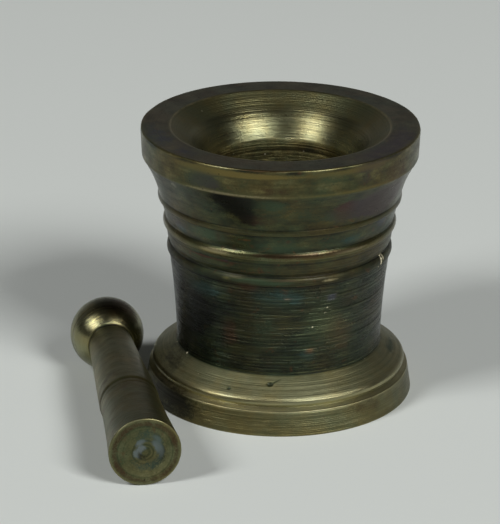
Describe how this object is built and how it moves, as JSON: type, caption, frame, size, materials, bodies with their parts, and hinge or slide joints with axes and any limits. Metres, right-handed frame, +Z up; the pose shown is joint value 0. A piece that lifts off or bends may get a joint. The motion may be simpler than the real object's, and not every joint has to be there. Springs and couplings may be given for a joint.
{
  "type": "pill crusher",
  "caption": "Small turned brass mortar with a ridged, flared body, open bowl and deep well, and a ball-ended pestle lying beside it.",
  "frame": {"origin": "centre of the mortar's flat foot, on the surface that it stands on", "axes": "+Z up along the mortar's turning axis; the pestle lies on the -X side with its flat end towards -Y"},
  "size_m": [0.0488, 0.0541, 0.0385],
  "materials": {
    "mortar_brass": "aged, dark patina, worn bright on its edges",
    "pestle_brass": "aged, satin stem, polished ball"
  },
  "bodies": {
    "mortar": {"mortar": "mortar_brass"},
    "pestle": {"pestle": "pestle_brass"}
  },
  "joints": [
    {"name": "pestle_lift", "type": "slide", "parent": "mortar", "child": "pestle", "axis": [0, 0, 1], "range_m": [0, 0.06]}
  ]
}
